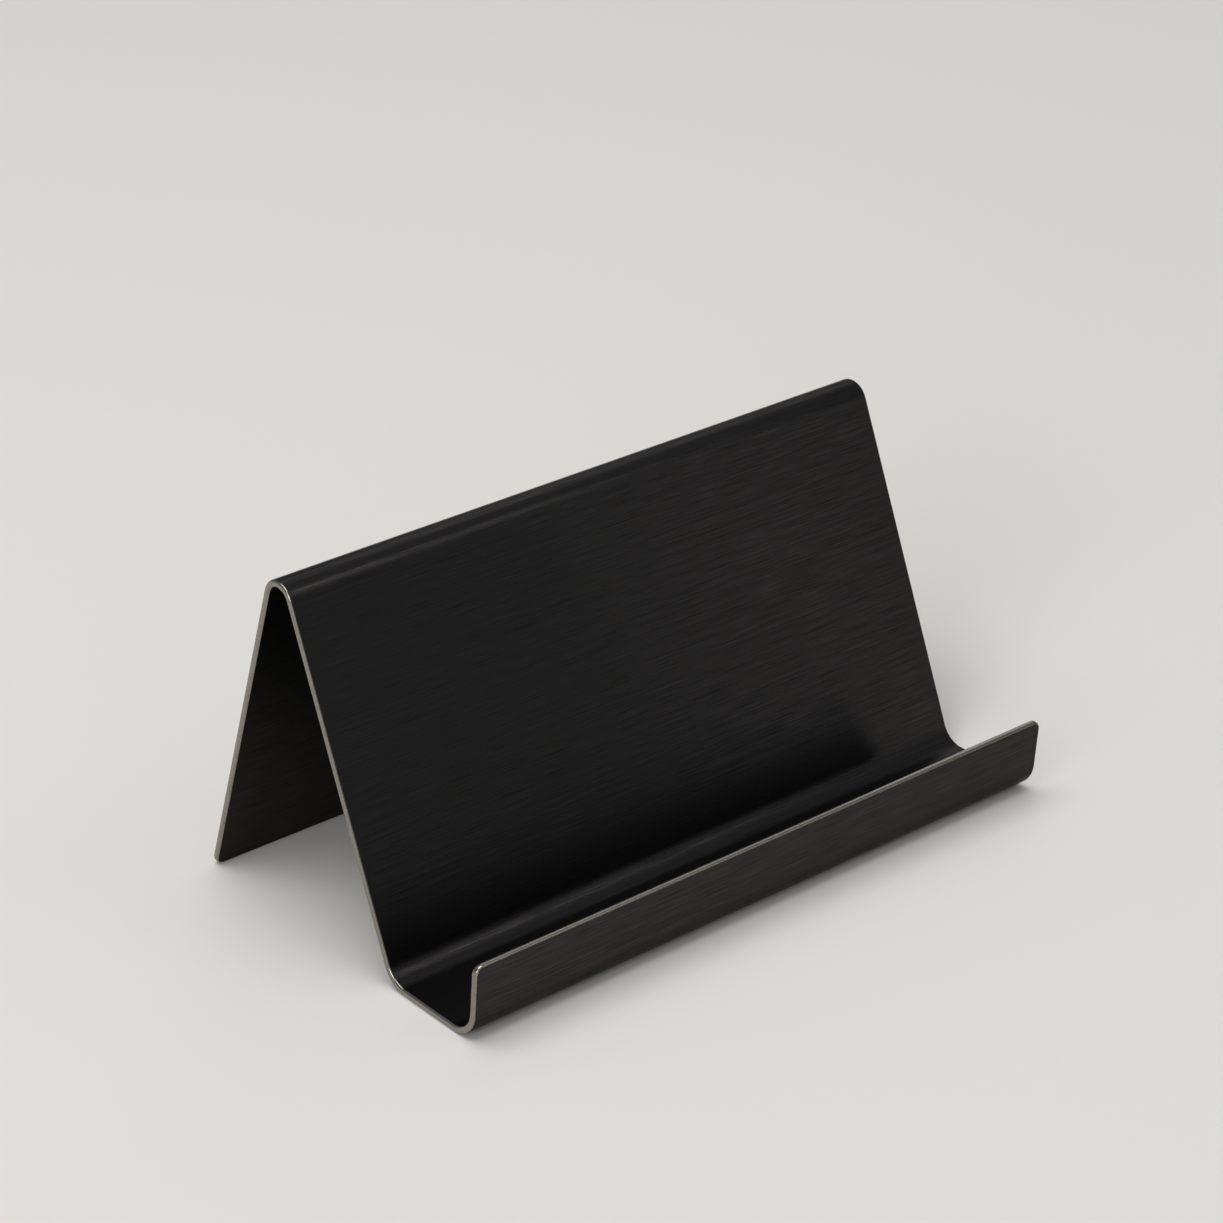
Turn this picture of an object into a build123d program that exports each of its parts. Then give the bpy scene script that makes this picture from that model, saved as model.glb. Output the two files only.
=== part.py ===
"""Business card stand: one strip of stainless sheet, folded into a lip, a trough, a card panel and a back leg.

Millimetres and degrees. X runs along the bends, -Y is the reader's side and +Z is up.
The origin is on the table, under the middle of the stand.
"""
import os
from math import cos, radians, sin, tan

from build123d import *

# The sheet and its blank
sheet_thickness = 1.0
stand_width = 100.0  # along the bends, a little more than the length of a card
corner_radius = 1.3  # the blank's four corners
edge_round = 0.35 * sheet_thickness  # deburring along every cut arris, which leaves a narrow flat

# The folded shape, measured on the side of the sheet that the cards touch
stand_height = 48.8  # table to the top of the crown
floor_depth = 15.2  # lip to panel, between the corners that the bends round off
lip_height = 11.6  # table to the inside of the lip's top edge
lip_lean = 3.0  # from upright, towards the reader
panel_lean = 24.0  # from upright, away from the reader
leg_lean = 16.0  # from upright, with the foot away from the reader

# Inside radii of the three bends
front_bend_radius = 3.5
rear_bend_radius = 3.5
crown_bend_radius = 2.0


def arris_setback(lean):
    """How far the rounding draws in the outermost point of a square arris that leans."""
    return edge_round * (cos(radians(lean)) + sin(radians(lean)) - 1)


def along_lean(lean, rise):
    """The step, as (depth, height), that climbs by rise on a line that leans away from the reader."""
    return Vector(tan(radians(lean)) * rise, rise)


# The crown's outside arc touches stand_height, and its two flanks meet at a corner above the arc
crown_outside_radius = crown_bend_radius + sheet_thickness
crown_half_angle = radians(panel_lean + leg_lean) / 2
crown_tilt = radians(panel_lean - leg_lean) / 2
crown_corner_rise = crown_outside_radius * (cos(crown_tilt) / sin(crown_half_angle) - 1)
crown_corner_height = stand_height + crown_corner_rise

# The leg is cut square, so it stands on the rounded arris of its inner side
foot_height = sheet_thickness * sin(radians(leg_lean)) - arris_setback(leg_lean)

# Corners of the card side as (depth, height), from the lip's top over the crown to the leg's foot
rear_corner = Vector(0, sheet_thickness)
front_corner = rear_corner - Vector(floor_depth, 0)
lip_top = front_corner + along_lean(-lip_lean, lip_height - sheet_thickness)
crown_corner = rear_corner + along_lean(panel_lean, crown_corner_height - sheet_thickness)
foot = crown_corner + along_lean(-leg_lean, foot_height - crown_corner_height)

# The lip's outer arris and the foot's back arris are the nearest and farthest points from the reader
nearest = lip_top.X - sheet_thickness * cos(radians(lip_lean)) + arris_setback(lip_lean)
farthest = foot.X - arris_setback(leg_lean)
middle = (nearest + farthest) / 2

with BuildPart() as folded_stand:
    # Section of the folded sheet, with the stand's middle over the origin
    with BuildSketch(Plane.YZ.shift_origin((0, -middle, 0))):
        with BuildLine():
            FilletPolyline(
                lip_top,
                front_corner,
                rear_corner,
                crown_corner,
                foot,
                radius=(front_bend_radius, rear_bend_radius, crown_outside_radius),
            )
            offset(amount=sheet_thickness, side=Side.RIGHT)
        make_face()
    extrude(amount=stand_width / 2, both=True)

    # The shortest edges run through the sheet, at the blank's corners
    fillet(folded_stand.edges().group_by(SortBy.LENGTH)[0], radius=corner_radius)

    # On each face of the sheet the outline is one smooth loop, so this rounds the lip's and foot's edges too
    side_edges = folded_stand.faces().filter_by(Axis.X).edges()
    through_sheet = side_edges.group_by(SortBy.LENGTH)[0]
    fillet(side_edges - through_sheet, radius=edge_round)

folded_stand.part.label = "folded_stand"
os.makedirs("parts", exist_ok=True)
export_step(folded_stand.part, "parts/folded_stand.step")
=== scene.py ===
from math import ceil, cos, pi, radians, sin, tan

import bmesh
import bpy
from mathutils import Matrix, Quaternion, Vector


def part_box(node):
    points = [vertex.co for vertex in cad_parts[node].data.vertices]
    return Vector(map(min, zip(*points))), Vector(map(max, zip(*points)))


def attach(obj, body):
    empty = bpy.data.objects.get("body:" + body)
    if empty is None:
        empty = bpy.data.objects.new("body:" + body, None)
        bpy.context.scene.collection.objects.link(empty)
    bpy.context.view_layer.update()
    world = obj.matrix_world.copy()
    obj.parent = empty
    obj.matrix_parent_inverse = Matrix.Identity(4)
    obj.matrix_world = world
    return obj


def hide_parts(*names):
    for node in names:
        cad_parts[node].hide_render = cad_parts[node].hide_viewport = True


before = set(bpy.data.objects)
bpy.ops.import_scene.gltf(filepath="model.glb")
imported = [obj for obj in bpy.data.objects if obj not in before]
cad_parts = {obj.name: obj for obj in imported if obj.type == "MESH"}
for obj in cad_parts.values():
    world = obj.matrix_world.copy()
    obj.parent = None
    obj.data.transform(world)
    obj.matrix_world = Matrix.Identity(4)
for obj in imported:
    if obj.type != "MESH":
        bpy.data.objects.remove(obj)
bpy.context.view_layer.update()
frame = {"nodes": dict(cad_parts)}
mm = 0.001  # everything in Blender is in metres
print("frame loaded:", ", ".join(frame["nodes"]))


def linear(hexColour):
    # sRGB hex to the linear colour that Blender's sockets take
    shares = [int(hexColour[i:i + 2], 16) / 255 for i in (1, 3, 5)]
    return (*[s / 12.92 if s <= 0.04045 else ((s + 0.055) / 1.055) ** 2.4 for s in shares], 1.0)


def addNode(tree, kind, inputs=None, **settings):
    # inputs holds a value or another node's output for each socket
    node = tree.nodes.new(kind)
    for name, value in settings.items():
        setattr(node, name, value)
    for socket, value in (inputs or {}).items():
        if isinstance(value, bpy.types.NodeSocket):
            tree.links.new(value, node.inputs[socket])
        else:
            node.inputs[socket].default_value = value
    return node


def newMaterial(name):
    material = bpy.data.materials.new(name)
    material.use_nodes = True
    return material, material.node_tree, material.node_tree.nodes["Principled BSDF"]


# Black stainless sheet, brushed and then coloured: near black, with hairlines along the width that
# stretch every reflection across them. The map "blank" is the flat sheet in millimetres.
blackSheet = {
    "darkLine": "#201f1e",
    "paleLine": "#3f3c3b",
    "grazing": "#bcbcbc",  # the coloured skin stays dark at a flat angle, where bare metal turns white
    "roughness": (0.125, 0.285),  # of the palest line and of the darkest
    "anisotropy": 0.92,
    "lacquer": 0.2,  # a thin matt coat against fingerprints, which lifts the deepest blacks
    "lacquerRoughness": 0.5,
    "hairline": (7.0, 0.13),  # length and pitch in mm: real ones are 0.05 mm apart, too fine to show
    "streak": (36.0, 0.32),  # bundles of hairlines, also in mm
    "streakShare": 0.3,
    "detail": 3.0,
    "contrast": (0.3, 0.7),  # the part of the noise that runs from dark to pale
    "hairlineDepth": 0.006 * mm,
}


def makeBlackSheet(look):
    material, tree, steel = newMaterial("brushedBlackStainless")
    blank = addNode(tree, "ShaderNodeUVMap", uv_map="blank").outputs["UV"]
    layers = []
    for length, pitch in (look["hairline"], look["streak"]):
        along = addNode(
            tree, "ShaderNodeMapping", {"Vector": blank, "Scale": (1 / length, 1 / pitch, 1)}
        ).outputs["Vector"]
        noise = addNode(
            tree, "ShaderNodeTexNoise", {"Vector": along, "Scale": 1.0, "Detail": look["detail"]}
        ).outputs["Fac"]
        layers.append(noise)
    brush = addNode(
        tree, "ShaderNodeMix", {"Factor": look["streakShare"], "A": layers[0], "B": layers[1]}
    ).outputs["Result"]
    dark, pale = look["contrast"]
    contrast = addNode(
        tree, "ShaderNodeMapRange",
        {"Value": brush, "From Min": dark, "From Max": pale, "To Min": 0.0, "To Max": 1.0},
    ).outputs["Result"]
    tone = addNode(
        tree, "ShaderNodeMix",
        {"Factor": contrast, 6: linear(look["darkLine"]), 7: linear(look["paleLine"])},
        data_type="RGBA",
    ).outputs[2]
    low, high = look["roughness"]
    rough = addNode(
        tree, "ShaderNodeMapRange", {"Value": contrast, "To Min": high, "To Max": low}
    ).outputs["Result"]
    height = addNode(
        tree, "ShaderNodeBump", {"Height": contrast, "Strength": 1.0, "Distance": look["hairlineDepth"]}
    ).outputs["Normal"]
    alongWidth = addNode(
        tree, "ShaderNodeTangent", direction_type="UV_MAP", uv_map="blank"
    ).outputs["Tangent"]
    steel.inputs["Metallic"].default_value = 1.0
    steel.inputs["Specular Tint"].default_value = linear(look["grazing"])
    steel.inputs["Coat Weight"].default_value = look["lacquer"]
    steel.inputs["Coat Roughness"].default_value = look["lacquerRoughness"]
    steel.inputs["Anisotropic"].default_value = look["anisotropy"]
    steel.inputs["Anisotropic Rotation"].default_value = 0.25  # a quarter turn, across the hairlines
    tree.links.new(tone, steel.inputs["Base Color"])
    tree.links.new(rough, steel.inputs["Roughness"])
    tree.links.new(height, steel.inputs["Normal"])
    tree.links.new(alongWidth, steel.inputs["Tangent"])
    return material


# Bare stainless where the coloured sheet was cut and then deburred: paler and a little warm,
# with fine grinding marks that break up the glints.
cutEdge = {
    "dull": "#726e69",
    "bright": "#a59f97",
    "roughness": (0.12, 0.26),  # of the brightest mark and of the dullest
    "grindingMark": 0.35,  # mm
    "detail": 3.0,
    "markDepth": 0.006 * mm,
}


def makeCutEdge(look):
    material, tree, steel = newMaterial("deburredBareStainless")
    place = addNode(tree, "ShaderNodeTexCoord").outputs["Object"]
    marks = addNode(
        tree, "ShaderNodeTexNoise",
        {"Vector": place, "Scale": 1 / (look["grindingMark"] * mm), "Detail": look["detail"]},
    ).outputs["Fac"]
    tone = addNode(
        tree, "ShaderNodeMix",
        {"Factor": marks, 6: linear(look["dull"]), 7: linear(look["bright"])},
        data_type="RGBA",
    ).outputs[2]
    low, high = look["roughness"]
    rough = addNode(
        tree, "ShaderNodeMapRange", {"Value": marks, "To Min": high, "To Max": low}
    ).outputs["Result"]
    height = addNode(
        tree, "ShaderNodeBump", {"Height": marks, "Strength": 1.0, "Distance": look["markDepth"]}
    ).outputs["Normal"]
    steel.inputs["Metallic"].default_value = 1.0
    tree.links.new(tone, steel.inputs["Base Color"])
    tree.links.new(rough, steel.inputs["Roughness"])
    tree.links.new(height, steel.inputs["Normal"])
    return material


# The stand is one strip of sheet. Leans are from upright, and sizes are on the side that the cards touch.
stand = {
    "sheet": 1.0 * mm,
    "lipHeight": 11.6 * mm,
    "floorDepth": 15.2 * mm,  # between the corners that the bends round off
    "lipLean": radians(3),
    "panelLean": radians(24),
    "legLean": radians(16),
    "frontBend": 3.5 * mm,  # inside radii
    "rearBend": 3.5 * mm,
    "crownBend": 2.0 * mm,
    "bendFacet": radians(3),
    "cornerRadius": 1.3 * mm,
    "cornerSteps": 8,
    "edgeRound": 0.35 * mm,
    "edgeSteps": 4,
    "edgeAngle": radians(60),  # only cut edges are sharper than this
}


def runStraight(bm, edge, heading, length):
    # Draws the sheet's end edge on in the section's plane: heading 0 is along +Y and 90 degrees is up
    made = bmesh.ops.extrude_edge_only(bm, edges=[edge])["geom"]
    ends = [g for g in made if isinstance(g, bmesh.types.BMVert)]
    bmesh.ops.translate(bm, verts=ends, vec=Vector((0, cos(heading), sin(heading))) * length)
    return bm.edges.get(ends)


def runBend(bm, edge, heading, radius, turn, facet):
    # Turns the sheet's end edge round a bend, up for a positive turn
    side = 1 if turn > 0 else -1
    centre = edge.verts[0].co + Vector((0, -sin(heading), cos(heading))) * radius * side
    spun = bmesh.ops.spin(
        bm, geom=[*edge.verts, edge], cent=centre, axis=(1, 0, 0), angle=turn, steps=ceil(abs(turn) / facet)
    )["geom_last"]
    return next(g for g in spun if isinstance(g, bmesh.types.BMEdge))


def makeStand(size):
    low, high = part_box("folded_stand")
    sheet = size["sheet"]

    def setback(lean):
        # how far the deburring draws in the outermost point of an arris that leans
        return size["edgeRound"] * (cos(lean) + sin(lean) - 1)

    headings = [size["lipLean"] - pi / 2, 0.0, pi / 2 - size["panelLean"], size["legLean"] - pi / 2]
    radii = [size["frontBend"], size["rearBend"], size["crownBend"] + sheet]
    turns = [after - before for before, after in zip(headings, headings[1:])]
    cutBacks = [0.0, *[r * tan(abs(t) / 2) for r, t in zip(radii, turns)], 0.0]

    # Lengths between the corners that the bends round off
    crownAngle = (size["panelLean"] + size["legLean"]) / 2
    crownTilt = (size["panelLean"] - size["legLean"]) / 2
    crownHeight = high.z + radii[2] * (cos(crownTilt) / sin(crownAngle) - 1)
    footHeight = sheet * sin(size["legLean"]) - setback(size["legLean"])
    lengths = [
        (size["lipHeight"] - sheet) / cos(size["lipLean"]),
        size["floorDepth"],
        (crownHeight - sheet) / cos(size["panelLean"]),
        (crownHeight - footHeight) / cos(size["legLean"]),
    ]

    # Drawn from the lip's top edge, right end first so that the faces point to the cards
    bm = bmesh.new()
    lipTop = low.y + sheet * cos(size["lipLean"]) - setback(size["lipLean"])
    edge = bm.edges.new([bm.verts.new((x, lipTop, size["lipHeight"])) for x in (high.x, low.x)])
    for i, length in enumerate(lengths):
        edge = runStraight(bm, edge, headings[i], length - cutBacks[i] - cutBacks[i + 1])
        if i < len(turns):
            edge = runBend(bm, edge, headings[i], radii[i], turns[i], size["bendFacet"])

    # The flat blank as a map: across the stand, and along the strip
    blank = bm.loops.layers.uv.new("blank")
    along = {}
    walked = 0.0
    bm.verts.ensure_lookup_table()
    for i in range(0, len(bm.verts), 2):
        if i:
            walked += (bm.verts[i].co - bm.verts[i - 2].co).length
        for v in bm.verts[i:i + 2]:
            along[v] = walked
    for face in bm.faces:
        for loop in face.loops:
            loop[blank].uv = (loop.vert.co.x / mm, along[loop.vert] / mm)

    corners = [v for v in bm.verts if len(v.link_edges) == 2]
    bmesh.ops.bevel(
        bm, geom=corners, offset=size["cornerRadius"], offset_type="OFFSET",
        affect="VERTICES", segments=size["cornerSteps"], profile=0.5, material=-1,
    )
    for face in bm.faces:
        face.smooth = True

    mesh = bpy.data.meshes.new("foldedStand")
    bm.to_mesh(mesh)
    bm.free()
    piece = bpy.data.objects.new("foldedStand", mesh)
    bpy.context.scene.collection.objects.link(piece)
    mesh.materials.append(makeBlackSheet(blackSheet))
    mesh.materials.append(makeCutEdge(cutEdge))

    thickness = piece.modifiers.new("sheetThickness", "SOLIDIFY")
    thickness.thickness = sheet
    thickness.offset = -1
    thickness.use_even_offset = True
    thickness.material_offset_rim = 1  # cut faces are bare
    deburring = piece.modifiers.new("deburring", "BEVEL")
    deburring.limit_method = "ANGLE"
    deburring.angle_limit = size["edgeAngle"]
    deburring.width = size["edgeRound"]
    deburring.segments = size["edgeSteps"]
    deburring.material = 1

    # Applied, so that the colour can stay on the outermost strip of each rounding
    bm = bmesh.new()
    bm.from_object(piece, bpy.context.evaluated_depsgraph_get())
    skin = [f for f in bm.faces if f.material_index == 0]
    for strip in {f for s in skin for e in s.edges for f in e.link_faces}:
        strip.material_index = 0
    bm.to_mesh(mesh)
    bm.free()
    piece.modifiers.clear()
    shading = piece.modifiers.new("flatsStayFlat", "WEIGHTED_NORMAL")
    shading.weight = 100

    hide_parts("folded_stand")
    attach(piece, "root")
    return piece


foldedStand = makeStand(stand)
print("folded stand:", len(foldedStand.data.polygons), "faces")


studio = {
    "floor": "#e2e0dc",
    "floorRoughness": 0.9,
    "floorGloss": 0.2,
    "floorReach": 12.0,  # metres each way
    "roomColour": "#eef1f4",
    "roomStrength": 0.3,
    # place, size and radiance of each softbox, in metres: they all face the stand
    "softboxes": {
        "overhead": ((-0.25, 0.05, 1.2), (1.0, 1.0), 3.1),
        "leftKey": ((-1.8, -0.72, 0.81), (1.08, 1.08), 4.0),  # glints on the bare edges
        "backFill": ((0.76, 0.74, 0.75), (0.5, 0.9), 0.6),  # tops of the crown and the lip
        "topFill": ((0.56, -0.69, 0.95), (0.5, 0.3), 1.25),  # line of light along the rear bend
        "rightStrip": ((0.9, -1.02, 0.29), (0.16, 0.9), 0.3),  # paler right third of the panel
    },
}


def makeStudio(look):
    bm = bmesh.new()
    bmesh.ops.create_grid(bm, x_segments=1, y_segments=1, size=look["floorReach"])
    mesh = bpy.data.meshes.new("studioFloor")
    bm.to_mesh(mesh)
    bm.free()
    floor = bpy.data.objects.new("studioFloor", mesh)
    bpy.context.scene.collection.objects.link(floor)
    material, _, board = newMaterial("mattePaintedBoard")  # an even, pale surface with almost no gloss
    board.inputs["Base Color"].default_value = linear(look["floor"])
    board.inputs["Roughness"].default_value = look["floorRoughness"]
    board.inputs["Specular IOR Level"].default_value = look["floorGloss"]
    mesh.materials.append(material)

    world = bpy.data.worlds.new("studioRoom")
    world.use_nodes = True
    room = world.node_tree.nodes["Background"]
    room.inputs["Color"].default_value = linear(look["roomColour"])
    room.inputs["Strength"].default_value = look["roomStrength"]
    bpy.context.scene.world = world

    for name, (place, (wide, high), radiance) in look["softboxes"].items():
        lamp = bpy.data.lights.new(name, "AREA")
        lamp.shape = "RECTANGLE"
        lamp.size = wide
        lamp.size_y = high
        lamp.energy = radiance * pi * wide * high  # an area lamp spreads its power over its face
        softbox = bpy.data.objects.new(name, lamp)
        softbox.location = place
        softbox.rotation_mode = "QUATERNION"
        softbox.rotation_quaternion = (-Vector(place)).to_track_quat("-Z", "Y")
        bpy.context.scene.collection.objects.link(softbox)


makeStudio(studio)
bpy.context.scene.view_settings.view_transform = "Standard"
print("studio: floor, room and", len(studio["softboxes"]), "softboxes")


photoCamera = {
    "aim": Vector((-4.68, 0.0, 34.76)) * mm,  # what the middle of the picture shows
    "distance": 502.7 * mm,
    "azimuth": radians(-41.38),
    "elevation": radians(27.73),
    "roll": radians(1.44),
    "lens": 112.47,
    "clipStart": 10 * mm,
}


def makeCamera(shot):
    lens = bpy.data.cameras.new("photoCamera")
    lens.lens = shot["lens"]
    lens.clip_start = shot["clipStart"]
    camera = bpy.data.objects.new("photoCamera", lens)
    bpy.context.scene.collection.objects.link(camera)
    flat = cos(shot["elevation"])
    back = Vector((sin(shot["azimuth"]) * flat, -cos(shot["azimuth"]) * flat, sin(shot["elevation"])))
    camera.location = shot["aim"] + back * shot["distance"]
    camera.rotation_mode = "QUATERNION"
    camera.rotation_quaternion = (-back).to_track_quat("-Z", "Y") @ Quaternion((0, 0, 1), shot["roll"])
    bpy.context.scene.camera = camera


makeCamera(photoCamera)
print("camera at the photograph's angle")
